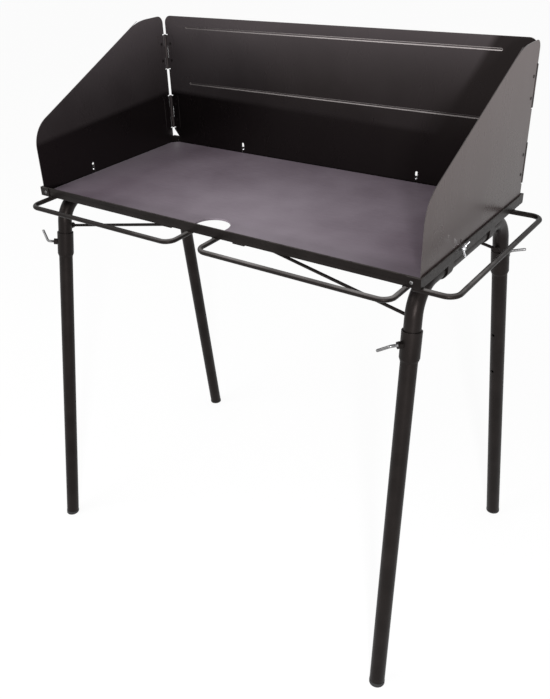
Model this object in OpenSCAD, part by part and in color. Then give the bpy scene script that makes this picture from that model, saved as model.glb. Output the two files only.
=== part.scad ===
// Folding camp cook table: an angle-iron frame on splayed folding legs, with a
// loose steel cook plate, a hinged three-sided windscreen and towel bars.
// Millimetres, +Z up, +X to the cook's right, +Y to the back.
// The origin is on the floor under the middle of the frame.

/* [Frame] */
// Width over the side rails
frame_w = 940; // [860:5:1040]
// Depth over the corner tabs
frame_d = 466; // [440:2:520]
// Height of the rails' top edges above the floor
rail_top = 914; // [860:2:960]
// Height of a rail's upright flange
rail_h = 20; // [18:0.5:24]
// Width of a rail's level flange, the shelf under the plate
rail_shelf = 20; // [16:0.5:24]
// Thickness of a rail's two flanges
rail_t = 3; // [2.5:0.1:3.4]
// Length of the side rails' tabs round the corners
tab_len = 26; // [22:1:34]
// Thickness of the corner tabs
tab_t = 2; // [1.5:0.1:3]
// Diameter of a corner screw
corner_screw_d = 3.5; // [3:0.5:5]
// Distance of a corner screw from the side of the frame
corner_screw_in = 17; // [14:0.5:19]

/* [Cook plate] */
// Thickness of the plate
plate_t = 4; // [3:0.1:5]
// Play between the plate's front and back edges and what is beside them
plate_play = 0.6; // [0.4:0.1:1.5]
// Clearance between the plate's edges and the hinge rivets as it lifts out
plate_lift_clear = 1; // [0.6:0.1:2]
// Width of the finger notch in the front edge
notch_w = 76; // [60:1:100]
// Depth of the finger notch from the plate's front edge
notch_depth = 69; // [60:1:80]
// Size of the cut across the plate's back corners
plate_corner_cut = 14; // [13:0.5:20]

/* [Windscreen] */
// Thickness of a panel's sheet
panel_t = 1.5; // [1:0.1:2]
// Gap between a panel's outer face and the rail's upright flange
panel_gap = 0.6; // [0.4:0.1:1]
// Height of the panels' top edges above the rails
panel_rise = 298; // [280:1:330]
// Clearance between a side panel's bottom edge and the plate
side_panel_clear = 1; // [0.6:0.1:2]
// Distance between a folded side panel and the back panel
fold_gap = 4.6; // [4.6:0.1:6]
// Gap between a hinge barrel and the notch round it in a panel's edge
barrel_gap = 2.2; // [1.5:0.1:3]
// Distance of the panels' hinge-side edges from the pins' axes
edge_gap = 1.5; // [1:0.1:3]
// Gap between a side panel's front edge and the front rail
panel_front_gap = 2; // [1.8:0.1:3]
// Width of the cuts at the back panel's lower corners
foot_cut_w = 29; // [24:1:34]
// Height of the cuts at the back panel's lower corners
foot_cut_h = 36; // [30:1:38]
// Radius of the panels' hinge-side corners
corner_r = 18; // [10:1:24]
// Radius of a side panel's lower front corner
front_corner_r = 6; // [4:0.5:12]
// Length of a side panel's level top edge with its corners square
side_top_len = 90; // [70:1:120]
// Slope of a side panel's top edge, degrees
side_slope = 25.6; // [20:0.1:28]
// Radius between the level top edge and the slope
slope_r = 150; // [80:5:160]
// Radius between the slope and the front edge
brow_r = 66; // [40:1:75]
// Radius of the stiffening beads' outer face
bead_r = 4.2; // [3.8:0.1:5]
// Height of the lower bead above the rails
bead_low = 141; // [120:1:160]
// Height of the upper bead above the rails
bead_high = 273; // [255:1:275]
// Distance of the beads' ends from the frame's sides
bead_inset = 77; // [60:1:100]

/* [Hinges] */
// Height of a hinge
hinge_h = 80; // [70:1:86]
// Height of the lower hinge's bottom above the rails
hinge_low = 25; // [20:1:30]
// Height of the upper hinge's bottom above the rails
hinge_high = 173; // [160:1:185]
// Reach of a leaf from the pin's axis
leaf_w = 24; // [20:0.5:30]
// Thickness of a leaf
leaf_t = 1; // [0.8:0.1:1.2]
// Radius of the barrel
barrel_r = 4.5; // [4:0.1:5]
// Radius of the pin
pin_r = 2; // [1.5:0.1:2.4]
// Running clearance round the pin
pin_clear = 0.05; // [0.03:0.01:0.1]
// Gap between two knuckles
knuckle_gap = 0.4; // [0.3:0.1:0.8]
// Gap between a leaf's plate and the barrel
leaf_gap = 0.5; // [0.3:0.1:0.8]
// Height and overhang of a pin's heads
pin_head = 1; // [0.8:0.1:1.5]
// Radius of a rivet's shank
rivet_r = 1.6; // [1.2:0.1:2]
// Radius of a rivet's heads
rivet_head_r = 3; // [2.5:0.1:3.5]
// Height of a rivet's heads
rivet_head_h = 0.8; // [0.5:0.1:0.8]

/* [Wing screws] */
// Diameter of a wing screw's shank
wing_d = 5; // [4:0.5:6]
// Depth of the wing screws below the rails' top edges
wing_drop = 6; // [5.5:0.1:7]
// Distance of the side wing screws in front of the middle
wing_forward = 70; // [40:1:100]
// Distance of the back wing screws from the middle
wing_side = 236; // [200:1:280]
// Reach of a wing from the screw's axis
wing_reach = 14; // [11:0.5:16]
// Thickness of a wing
wing_t = 2.4; // [2:0.1:3]
// Length of a wing screw's hub
hub_len = 7; // [6:0.5:8]
// Wall of a wing screw's hub
hub_wall = 2; // [1.5:0.1:2.5]
// Gap between a wing screw's hub and the rail
hub_gap = 0.3; // [0.2:0.1:0.5]
// Running clearance of a wing screw in its rail
wing_clear = 0.05; // [0.03:0.01:0.1]
// Flare of the wings past the hub's length
wing_flare = 1; // [0.5:0.1:1.5]
// Play of a wing screw in its panel slot
slot_play = 0.6; // [0.4:0.1:1]
// Height of the panel slots' tops above the rails
slot_rise = 11; // [8:0.5:14]

/* [Towel bars] */
// Diameter of the bar
bar_d = 10; // [8:0.5:12]
// Length between the axes of a side bar's two ends
bar_len = 408; // [360:2:420]
// Distance of the bar's run from the rail's outer face
bar_reach = 58; // [45:1:75]
// Bend radius on the bar's axis
bar_bend = 22; // [16:1:30]
// Depth of the flat where a bar's end meets the rail
bar_land = 0.8; // [0.4:0.1:1.5]
// Distance of a front bar's outer end from the frame's side
front_bar_in = 28; // [20:1:40]
// Distance of a front bar's inner end from the frame's middle
front_bar_mid = 34; // [26:1:50]
// Distance of a side bar's middle from the frame's, to the front on the right and to the back on the left
side_bar_y = 20; // [0:1:24]

/* [Leg frames] */
// Outer diameter of the leg tube
tube_d = 32; // [28:0.5:34]
// Wall of the leg tube
tube_wall = 2; // [1.5:0.1:2.5]
// Bend radius on the tube's axis
tube_bend = 60; // [50:1:62]
// Distance of the fold axis from the frame's side
fold_in = 26; // [24:0.5:32]
// Gap between a saddle ring and the rail above it
saddle_gap = 0.5; // [0.5:0.1:2]
// Splay of a leg to the front or back, degrees
splay = 8.47; // [6:0.01:10]
// Lean of a leg frame to the outside, degrees
lean = 2.11; // [1:0.01:4]
// Distance of a leg from the frame's front or back at the height of the fold axis
leg_in = 41.4; // [33:0.2:53]
// Distance of a saddle from the middle
saddle_y = 95; // [80:1:105]
// Width of a saddle
saddle_w = 24; // [18:1:30]
// Wall of a saddle
saddle_wall = 3; // [2.5:0.1:4]
// Running clearance of the tube in its saddles
saddle_clear = 0.06; // [0.03:0.01:0.1]
// Fold of the right leg frame, degrees
fold_right = 90; // [86:0.5:90]
// Fold of the left leg frame, degrees
fold_left = 84; // [80:0.5:84]

/* [Lower legs] */
// Distance down the leg from the fold axis to the socket's mouth
socket_start = 77.5; // [77.5:0.5:84]
// Depth of the socket
socket_len = 52; // [51:1:70]
// Wall of the socket
socket_wall = 2.8; // [2.4:0.1:2.9]
// Running clearance of the upper tube in the socket
socket_clear = 0.08; // [0.04:0.01:0.1]
// Length of the swage below the socket
swage_len = 8; // [5:0.5:12]
// Distance down the leg to the first hole
hole_start = 294; // [260:1:320]
// Distance between the two holes
hole_step = 104; // [80:1:120]
// Diameter of the holes
hole_d = 7; // [5:0.5:9]
// Depth of a foot plug in its tube
plug_h = 22; // [15:1:30]
// Overhang of a foot plug's rim past the tube
rim_over = 0.4; // [0.2:0.1:1]
// Least thickness of a foot plug's rim
rim_h = 4; // [3:0.5:6]

/* [Clamp screws] */
// Diameter of a clamp screw
clamp_d = 6; // [5:0.5:7]
// Running clearance of a clamp screw in its nut
clamp_clear = 0.05; // [0.03:0.01:0.1]
// Gap between a clamp screw's tip and the upper tube
clamp_tip_gap = 0.3; // [0.2:0.1:0.5]
// Distance of the clamp screw below the socket's mouth
clamp_drop = 25; // [22:1:28]
// Width of the clamp nut over its corners
nut_w = 15; // [13:0.5:17]
// Height of the clamp nut from the socket
nut_h = 8; // [6:0.5:10]
// Length of the straight shank outside the nut
shank_out = 14; // [11:0.5:18]
// Diameter of the knuckle at the handle's bend
knuckle_d = 7.4; // [7.4:0.1:9]
// Bend of the handle, degrees
handle_angle = 62; // [45:1:75]
// Length of the straight handle
handle_len = 30; // [24:1:40]

/* [Braces] */
// Diameter of a brace rod
brace_d = 6.4; // [5.5:0.1:6.4]
// Distance down the leg from the fold axis to a brace's pivot
brace_start = 69; // [66:0.5:69]
// Gap between the leg tube and a brace's eye
brace_stand = 3; // [3:0.1:4.5]
// Radius of a brace's eye
eye_r = 6.5; // [6:0.1:6.8]
// Radius of the pivot stud
stud_r = 3.5; // [3:0.1:4]
// Running clearance of an eye on its stud
stud_clear = 0.06; // [0.03:0.01:0.1]
// Axial clearance beside a brace's eye
eye_gap = 0.3; // [0.2:0.1:0.5]
// Distance of a catch from the frame's middle
catch_x = 92; // [80:1:110]
// Depth of a catch's seat below the rails
catch_drop = 15; // [13:0.5:16]
// Thickness of a catch's sheet
catch_t = 2.5; // [2:0.1:3]
// Clearance of a brace's end in its catch
catch_clear = 0.5; // [0.4:0.1:0.7]
// Gap between a brace rod and the catch beside it
catch_gap = 0.8; // [0.5:0.1:1.2]
// Half the width of a catch
catch_half = 14; // [11:0.5:18]
// Depth of a catch below its seat
catch_lip = 10; // [8:0.5:14]
// Length of a brace's end behind its catch
pin_out = 2; // [1:0.5:4]
// Height and overhang of a stud's heads
stud_head = 2; // [1.5:0.1:2.5]

/* [Hidden] */
$fn = 64;
// Overlap that carries a cut through a face
cut = 1;

half_w = frame_w / 2;
half_d = frame_d / 2;
rail_bottom = rail_top - rail_h;
shelf_top = rail_bottom + rail_t;
plate_top = shelf_top + plate_t;
rail_y = half_d - tab_t;
rail_in_x = half_w - rail_t;
rail_in_y = rail_y - rail_t;

panel_out_x = rail_in_x - panel_gap;
panel_in_x = panel_out_x - panel_t;
panel_out_y = rail_in_y - panel_gap;
panel_in_y = panel_out_y - panel_t;
panel_top = rail_top + panel_rise;
side_bottom = plate_top + side_panel_clear;
side_front = -rail_in_y + panel_front_gap;

pin_x = panel_in_x - fold_gap / 2;
pin_y = panel_in_y - fold_gap / 2;
side_back = pin_y - edge_gap;
back_end = pin_x - edge_gap;
leaf_start = barrel_r + leaf_gap;
rivet_x = leaf_start + (leaf_w - leaf_start) / 2;
hinge_starts = [rail_top + hinge_low, rail_top + hinge_high];
knuckle_h = (hinge_h - 2 * knuckle_gap) / 3;

plate_x = panel_in_x - leaf_t - rivet_head_h - plate_lift_clear;
plate_back = panel_in_y - leaf_t - rivet_head_h - plate_lift_clear;
plate_front = -rail_in_y + plate_play;

wing_z = rail_top - wing_drop;
slot_w = wing_d + 2 * slot_play;
slot_top = rail_top + slot_rise;
hub_r = wing_d / 2 + hub_wall;

bar_z = rail_bottom - bar_d / 2 + bar_land;
front_bar_len = half_w - front_bar_in - front_bar_mid;
front_bar_x = front_bar_mid + front_bar_len / 2;

tube_r = tube_d / 2;
leg_y = half_d - leg_in;
saddle_r = tube_r + saddle_clear + saddle_wall;
fold_x = half_w - fold_in;
fold_z = rail_bottom - saddle_gap - saddle_r;
bend_turn = 90 - splay;
bend_tangent = tube_bend * tan(bend_turn / 2);
top_half = leg_y - bend_tangent;
socket_end = socket_start + socket_len;
socket_bore = tube_r + socket_clear;
socket_r = socket_bore + socket_wall;
floor_run = fold_z / (cos(splay) * cos(lean));
foot_angle = acos(cos(splay) * cos(lean));
rim_r = tube_r + rim_over;
tube_end = floor_run - rim_h - rim_r * tan(foot_angle);
plug_top = tube_end - plug_h;
plug_r = tube_r - tube_wall;

clamp_run = socket_start + clamp_drop;
shank_end = socket_r + nut_h + shank_out;
shank_len = shank_end - tube_r - clamp_tip_gap;

stud_y = leg_y + brace_start * sin(splay);
stud_x = fold_x + brace_start * cos(splay) * sin(lean);
stud_z = fold_z - brace_start * cos(splay) * cos(lean);
brace_y = stud_y - tube_r / cos(splay) - brace_stand - brace_d / 2;
catch_z = rail_bottom - catch_drop;
brace_run = stud_x - catch_x;
brace_climb = catch_z - stud_z;
brace_len = norm([brace_run, brace_climb]);
brace_angle = atan2(brace_climb, brace_run);
pin_len = brace_d / 2 + catch_gap + catch_t + pin_out;
catch_depth = catch_drop + catch_lip;

// How far a brace turns down in space for each degree that its leg frame folds
function brace_rate(fold) = (brace_angle + 90 + lean - fold) / fold;
// The way a brace's end first moves as its leg frame starts to fold, degrees below level
function catch_slope(fold) = atan2(
    stud_x - fold_x + brace_run * brace_rate(fold),
    fold_z - stud_z + brace_climb * brace_rate(fold));
function unit(v) = v / norm(v);

paint = "#2b2726";
enamel = "#1c1b1d";
steel = "#8b8288";
zinc = "#d5d6d8";
rubber = "#151515";

// Directions in which the clamp screws face, how their handles are turned, and where the legs' holes face
front_left_facing = [218, 35, 107];
front_right_facing = [238, 125, 117];
back_left_facing = [160, 20, 34];
back_right_facing = [78, 80, 252];

// A box from its lowest to its highest corner
module box(low, high) {
    translate(low)
        cube(high - low);
}

// What a corner of an outline loses when it is rounded
module corner_bite(before, corner, after, r) {
    u = unit(before - corner);
    v = unit(after - corner);
    half_angle = acos(u * v) / 2;
    run = r / tan(half_angle);
    middle = corner + unit(u + v) * r / sin(half_angle);
    difference() {
        polygon([corner, corner + u * run, middle, corner + v * run]);
        translate(middle)
            circle(r);
    }
}

// An outline with each corner rounded by its own radius
module rounded_outline(points, radii) {
    count = len(points);
    difference() {
        polygon(points);
        for (i = [0 : count - 1])
            if (radii[i] > 0)
                corner_bite(points[(i + count - 1) % count], points[i],
                    points[(i + 1) % count], radii[i]);
    }
}

// A sheet standing across X, drawn in Y and Z
module sheet_yz(x, t) {
    translate([x, 0, 0])
        rotate([90, 0, 90])
            linear_extrude(t)
                children();
}

// A sheet standing across Y, drawn in X and Z
module sheet_xz(y, t) {
    translate([0, y + t, 0])
        rotate([90, 0, 0])
            linear_extrude(t)
                children();
}

// Children in the frame of a leg that runs down -Z from the fold axis
module on_leg(side, end) {
    translate([side * fold_x, 0, fold_z])
        rotate([0, -side * lean, 0])
            translate([0, end * leg_y, 0])
                rotate([end * splay, 0, 0])
                    children();
}

// Children turned so that +X runs along a wing screw, from its panel outwards
module at_wing(side) {
    translate([side * panel_in_x, -wing_forward, wing_z])
        rotate([0, 0, side > 0 ? 0 : 180])
            children();
}
module at_back_wing(side) {
    translate([side * wing_side, panel_in_y, wing_z])
        rotate([0, 0, 90])
            children();
}

// Front or back rail: an upright flange and a shelf between the side rails
module cross_rail(end) {
    difference() {
        union() {
            mirror([0, end > 0 ? 1 : 0, 0])
                box([-rail_in_x, -rail_y, rail_bottom], [rail_in_x, -rail_in_y, rail_top]);
            mirror([0, end > 0 ? 1 : 0, 0])
                box([rail_shelf - half_w, -rail_y, rail_bottom],
                    [half_w - rail_shelf, rail_shelf - rail_y, shelf_top]);
        }
        corner_shanks(end);
        if (end > 0)
            for (side = [-1, 1])
                at_back_wing(side)
                    wing_hole();
    }
}

// Side rail: an upright flange, a shelf, and tabs bent round both corners
module side_rail(side) {
    difference() {
        mirror([side < 0 ? 1 : 0, 0, 0]) {
            box([rail_in_x, -half_d, rail_bottom], [half_w, half_d, rail_top]);
            box([half_w - rail_shelf, -rail_in_y, rail_bottom], [half_w, rail_in_y, shelf_top]);
            for (end = [0, 1])
                mirror([0, end, 0])
                    box([half_w - tab_len, -half_d, rail_bottom], [half_w, -rail_y, rail_top]);
        }
        for (end = [-1, 1])
            corner_shanks(end);
        at_wing(side)
            wing_hole();
    }
}

// Shanks of the corner screws, through the tabs and the rails behind them
module corner_shanks(end) {
    for (side = [-1, 1])
        translate([side * (half_w - corner_screw_in), end * rail_in_y, rail_bottom + rail_h / 2])
            rotate([-90 * end, 0, 0])
                cylinder(d = corner_screw_d, h = tab_t + rail_t);
}

module corner_screw_heads(end) {
    for (side = [-1, 1])
        translate([side * (half_w - corner_screw_in), end * half_d, rail_bottom + rail_h / 2])
            rotate([-90 * end, 0, 0])
                intersection() {
                    cylinder(d = 2 * corner_screw_d, h = corner_screw_d / 2);
                    translate([0, 0, -corner_screw_d])
                        sphere(1.5 * corner_screw_d);
                }
}

// One towel bar: a rod bent twice, with its ends under a rail whose face is at y = 0
module bar(length) {
    tuck = rail_shelf - rail_t;
    difference() {
        for (flip = [0, 1])
            mirror([flip, 0, 0]) {
                translate([length / 2, bar_bend - bar_reach, 0])
                    rotate([-90, 0, 0])
                        cylinder(d = bar_d, h = bar_reach - bar_bend + tuck);
                translate([length / 2 - bar_bend, bar_bend - bar_reach, 0])
                    rotate([0, 0, -90])
                        rotate_extrude(angle = 90)
                            translate([bar_bend, 0])
                                circle(d = bar_d);
                translate([0, -bar_reach, 0])
                    rotate([0, 90, 0])
                        cylinder(d = bar_d, h = length / 2 - bar_bend);
            }
        box([-length, 0, bar_d / 2 - bar_land], [length, rail_shelf, bar_d]);
    }
}

module front_bar(side) {
    translate([side * front_bar_x, -rail_y, bar_z])
        bar(front_bar_len);
}

module side_bar(side) {
    translate([side * half_w, -side * side_bar_y, bar_z])
        rotate([0, 0, 90 * side])
            bar(bar_len);
}

// Rings under a side rail in which a leg frame's top tube turns
module saddles(side) {
    for (end = [-1, 1])
        translate([side * fold_x, end * saddle_y, fold_z])
            difference() {
                union() {
                    rotate([90, 0, 0])
                        cylinder(r = saddle_r, h = saddle_w, center = true);
                    mirror([side < 0 ? 1 : 0, 0, 0])
                        box([fold_in - rail_shelf, -saddle_w / 2, 0],
                            [saddle_r, saddle_w / 2, rail_bottom - fold_z]);
                }
                rotate([90, 0, 0])
                    cylinder(r = tube_r + saddle_clear, h = saddle_w + 2 * cut, center = true);
            }
}

// Bent catch under a cross rail, with an open slot that holds a brace's end
module brace_catch(side, end) {
    fold = side > 0 ? fold_right : fold_left;
    face = brace_y - brace_d / 2 - catch_gap;
    mirror([side < 0 ? 1 : 0, 0, 0])
        mirror([0, end < 0 ? 1 : 0, 0])
            difference() {
                union() {
                    box([catch_x - catch_half, face - catch_t, rail_bottom - catch_t],
                        [catch_x + catch_half, rail_y, rail_bottom]);
                    box([catch_x - catch_half, face - catch_t, rail_bottom - catch_depth],
                        [catch_x + catch_half, face, rail_bottom]);
                }
                translate([catch_x, face - catch_t - cut, catch_z])
                    rotate([0, 180 - catch_slope(fold), 0])
                        catch_slot();
            }
}

module catch_slot() {
    r = brace_d / 2 + catch_clear;
    rotate([-90, 0, 0])
        cylinder(r = r, h = catch_t + 2 * cut);
    box([0, 0, -r], [2 * catch_depth, catch_t + 2 * cut, r]);
}

module wing_hole() {
    rotate([0, 90, 0])
        cylinder(d = wing_d + 2 * wing_clear, h = panel_t + panel_gap + rail_t + tab_t + cut);
}

// Open slot from a panel's bottom edge up past its wing screw
module panel_slot(bottom) {
    translate([0, bottom - cut])
        translate([-slot_w / 2, 0])
            square([slot_w, slot_top - slot_w / 2 - bottom + cut]);
    translate([0, slot_top - slot_w / 2])
        circle(d = slot_w);
}

// Wing screw along +X, with its tip at x = 0 and its hub outside a rail's face at x = face
module wing_screw(face) {
    start = face + hub_gap;
    rotate([0, 90, 0])
        cylinder(d = wing_d, h = start + hub_len);
    translate([start, 0, 0])
        rotate([0, 90, 0])
            cylinder(r = hub_r, h = hub_len);
    ear_r = hub_len / 2 + wing_flare;
    for (way = [0, 1])
        mirror([0, 0, way])
            translate([start + hub_len / 2 + wing_flare, wing_t / 2, 0])
                rotate([90, 0, 0])
                    linear_extrude(wing_t)
                        wing_ear(ear_r);
}

module wing_ear(ear_r) {
    translate([0, wing_reach - ear_r])
        circle(ear_r);
    polygon([[-hub_len / 2, 0], [hub_len / 2 - wing_flare, 0], [ear_r, wing_reach - ear_r],
        [-ear_r, wing_reach - ear_r]]);
}

// Side panel: level at the back, sloping down to a round brow and an upright front edge
module side_panel(side) {
    slope_start = side_back - side_top_len;
    brow_z = panel_top - (slope_start - side_front) * tan(side_slope);
    mirror([side < 0 ? 1 : 0, 0, 0])
        sheet_yz(panel_in_x, panel_t)
            difference() {
                rounded_outline(
                    [[side_back, side_bottom], [side_back, panel_top], [slope_start, panel_top],
                        [side_front, brow_z], [side_front, side_bottom]],
                    [corner_r, corner_r, slope_r, brow_r, front_corner_r]);
                translate([-wing_forward, 0])
                    panel_slot(side_bottom);
                for (z = hinge_starts, up = [1, 3])
                    translate([pin_y - rivet_x, z + up * hinge_h / 4])
                        circle(rivet_r);
                barrel_notches(pin_y);
            }
}

// Notches in a panel's edge at u = pin that the hinge barrels lie in
module barrel_notches(pin) {
    reach = barrel_r + barrel_gap;
    over = pin_head + barrel_gap / 2;
    for (z = hinge_starts)
        translate([pin - reach, z - over])
            square([2 * reach, hinge_h + 2 * over]);
}

// Section of a pressed bead, half a ring on the +X side
module bead_section() {
    intersection() {
        difference() {
            circle(bead_r);
            circle(bead_r - panel_t);
        }
        translate([0, -bead_r])
            square([bead_r, 2 * bead_r]);
    }
}

// A pressed bead that stands out behind the back panel, with round ends
module bead(z) {
    reach = half_w - bead_inset;
    translate([-reach, panel_in_y, z])
        rotate([90, 0, 90])
            linear_extrude(2 * reach)
                bead_section();
    for (flip = [0, 1])
        mirror([flip, 0, 0])
            translate([reach, panel_in_y, z])
                rotate([0, -90, -90])
                    rotate_extrude(angle = 180)
                        intersection() {
                            bead_section();
                            square(bead_r);
                        }
}

// Opening in the back panel's sheet that a bead fills
module bead_hole(z) {
    reach = half_w - bead_inset;
    hole_r = bead_r - panel_t;
    translate([-reach, z - hole_r])
        square([2 * reach, 2 * hole_r]);
    for (side = [-1, 1])
        translate([side * reach, z])
            circle(hole_r);
}

// Hinge leaves on one panel: a plate with knuckles on the pin's axis.
// The pin stands at the origin and the leaf runs along -X, with its panel on the +Y side.
module leaf(knuckles, bore) {
    difference() {
        union() {
            box([-leaf_w, fold_gap / 2 - leaf_t, 0], [-leaf_start, fold_gap / 2, hinge_h]);
            for (k = knuckles)
                translate([0, 0, k * (knuckle_h + knuckle_gap)]) {
                    box([-leaf_start - cut, fold_gap / 2 - leaf_t, 0], [0, fold_gap / 2, knuckle_h]);
                    cylinder(r = barrel_r, h = knuckle_h);
                }
        }
        translate([0, 0, -cut])
            cylinder(r = bore, h = hinge_h + 2 * cut);
        for (up = [1, 3])
            translate([-rivet_x, 0, up * hinge_h / 4])
                rotate([-90, 0, 0])
                    cylinder(r = rivet_r, h = fold_gap);
    }
}

module leaf_rivets() {
    for (up = [1, 3])
        translate([-rivet_x, fold_gap / 2, up * hinge_h / 4])
            rotate([-90, 0, 0]) {
                translate([0, 0, -leaf_t])
                    cylinder(r = rivet_r, h = leaf_t + panel_t);
                translate([0, 0, -leaf_t - rivet_head_h])
                    cylinder(r = rivet_head_r, h = rivet_head_h);
                translate([0, 0, panel_t])
                    cylinder(r = rivet_head_r, h = rivet_head_h);
            }
}

// Children at both hinges of a corner, turned for the back panel
module at_back_leaves(side) {
    for (z = hinge_starts)
        mirror([side < 0 ? 1 : 0, 0, 0])
            translate([pin_x, pin_y, z])
                children();
}

// Children at both hinges of a corner, turned for the side panel
module at_side_leaves(side) {
    for (z = hinge_starts)
        mirror([side < 0 ? 1 : 0, 0, 0])
            translate([pin_x, pin_y, z])
                mirror([1, -1, 0])
                    children();
}

module hinge_pins(side) {
    at_back_leaves(side) {
        cylinder(r = pin_r, h = hinge_h);
        for (z = [-pin_head, hinge_h])
            translate([0, 0, z])
                cylinder(r = pin_r + pin_head, h = pin_head);
    }
}

// Section of the leg tube
module tube_section() {
    difference() {
        circle(tube_r);
        circle(tube_r - tube_wall);
    }
}

// Leg frame: a top run, two bends and two splayed legs of one tube
module leg_frame(side) {
    translate([side * fold_x, 0, fold_z])
        rotate([0, -side * lean, 0]) {
            rotate([90, 0, 0])
                linear_extrude(2 * top_half, center = true)
                    tube_section();
            for (flip = [0, 1])
                mirror([0, flip, 0])
                    translate([0, top_half, -tube_bend])
                        rotate([0, -90, 0]) {
                            rotate_extrude(angle = bend_turn)
                                translate([tube_bend, 0])
                                    tube_section();
                            rotate([0, 0, bend_turn])
                                translate([tube_bend, 0, 0])
                                    rotate([-90, 0, 0])
                                        linear_extrude(socket_end - bend_tangent)
                                            tube_section();
                        }
        }
}

// Studs on which the braces turn, standing on the legs' inner sides
module brace_studs(side) {
    for (end = [-1, 1])
        difference() {
            translate([side * stud_x, 0, stud_z])
                rotate([-90 * end, 0, 0]) {
                    translate([0, 0, brace_y - brace_d / 2 - eye_gap])
                        cylinder(r = stud_r, h = stud_y - brace_y);
                    translate([0, 0, brace_y - brace_d / 2 - eye_gap - stud_head])
                        cylinder(r = stud_r + stud_head, h = stud_head);
                    translate([0, 0, brace_y + brace_d / 2 + eye_gap])
                        cylinder(r = stud_r + stud_head, h = tube_r / 2);
                }
            on_leg(side, end)
                translate([0, 0, -socket_end])
                    cylinder(r = tube_r, h = socket_end);
        }
}

// Brace rod from its eye on the leg to the cross pin in its catch
module brace(side, end) {
    translate([side * stud_x, end * brace_y, stud_z])
        rotate([0, side > 0 ? brace_angle - 180 : -brace_angle, 0])
            difference() {
                union() {
                    rotate([90, 0, 0])
                        cylinder(r = eye_r, h = brace_d, center = true);
                    rotate([0, 90, 0])
                        cylinder(d = brace_d, h = brace_len);
                    translate([brace_len, 0, 0])
                        sphere(d = brace_d);
                    translate([brace_len, 0, 0])
                        rotate([90 * end, 0, 0])
                            cylinder(d = brace_d, h = pin_len);
                }
                rotate([90, 0, 0])
                    cylinder(r = stud_r + stud_clear, h = brace_d + 2 * cut, center = true);
            }
}

// Lower leg: a tube swaged out into a socket, with a clamp hole and two holes below
module lower_leg(side, end, facing) {
    on_leg(side, end)
        difference() {
            rotate_extrude()
                polygon([[socket_bore, -socket_start], [socket_r, -socket_start],
                    [socket_r, -socket_end], [tube_r, -socket_end - swage_len],
                    [tube_r, -tube_end], [tube_r - tube_wall, -tube_end],
                    [tube_r - tube_wall, -socket_end], [socket_bore, -socket_end]]);
            rotate([0, 0, facing[0]])
                clamp_hole(socket_r);
            for (i = [0, 1])
                translate([0, 0, -hole_start - i * hole_step])
                    rotate([0, 90, facing[2]])
                        cylinder(d = hole_d, h = tube_d);
        }
}

module clamp_hole(reach) {
    translate([0, 0, -clamp_run])
        rotate([0, 90, 0])
            cylinder(d = clamp_d + 2 * clamp_clear, h = reach + cut);
}

// Hexagon nut on the side of a socket
module clamp_nut(side, end, facing) {
    on_leg(side, end)
        rotate([0, 0, facing[0]])
            difference() {
                translate([0, 0, -clamp_run])
                    rotate([0, 90, 0])
                        cylinder(d = nut_w, h = socket_r + nut_h, $fn = 6);
                translate([0, 0, -socket_end])
                    cylinder(r = socket_r, h = socket_len);
                clamp_hole(socket_r + nut_h);
            }
}

// Clamp screw: a shank and a handle that meet in a forged knuckle
module clamp_screw(side, end, facing) {
    on_leg(side, end)
        rotate([0, 0, facing[0]])
            translate([shank_end, 0, -clamp_run])
                rotate([facing[1], 0, 0]) {
                    rotate([0, -90, 0])
                        cylinder(d = clamp_d, h = shank_len);
                    sphere(d = knuckle_d);
                    rotate([0, 90 - handle_angle, 0])
                        cylinder(d = clamp_d, h = handle_len);
                }
}

// Foot plug: a plug in the tube's end with a rim below it, cut level with the floor
module foot_plug(side, end) {
    difference() {
        on_leg(side, end)
            rotate_extrude()
                polygon([[0, -plug_top], [plug_r, -plug_top], [plug_r, -tube_end],
                    [rim_r, -tube_end], [rim_r, -floor_run - tube_d], [0, -floor_run - tube_d]]);
        box([-frame_w, -frame_w, -frame_w], [frame_w, frame_w, 0]);
    }
}

module front_rail() { color(paint) cross_rail(-1); }
module back_rail() { color(paint) cross_rail(1); }
module left_rail() { color(paint) side_rail(-1); }
module right_rail() { color(paint) side_rail(1); }
module corner_screws() {
    color(zinc)
        for (end = [-1, 1]) {
            corner_shanks(end);
            corner_screw_heads(end);
        }
}
module front_bar_left() { color(paint) front_bar(-1); }
module front_bar_right() { color(paint) front_bar(1); }
module side_bar_left() { color(paint) side_bar(-1); }
module side_bar_right() { color(paint) side_bar(1); }
module left_saddles() { color(paint) saddles(-1); }
module right_saddles() { color(paint) saddles(1); }
module front_catches() {
    color(paint)
        for (side = [-1, 1])
            brace_catch(side, -1);
}
module back_catches() {
    color(paint)
        for (side = [-1, 1])
            brace_catch(side, 1);
}
module cook_plate() {
    color(steel)
        translate([0, 0, shelf_top])
            linear_extrude(plate_t)
                difference() {
                    polygon([[-plate_x, plate_front], [plate_x, plate_front],
                        [plate_x, plate_back - plate_corner_cut],
                        [plate_x - plate_corner_cut, plate_back],
                        [plate_corner_cut - plate_x, plate_back],
                        [-plate_x, plate_back - plate_corner_cut]]);
                    translate([0, plate_front + notch_depth - notch_w / 2])
                        circle(d = notch_w);
                    translate([-notch_w / 2, plate_front - cut])
                        square([notch_w, notch_depth - notch_w / 2 + cut]);
                }
}
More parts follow.
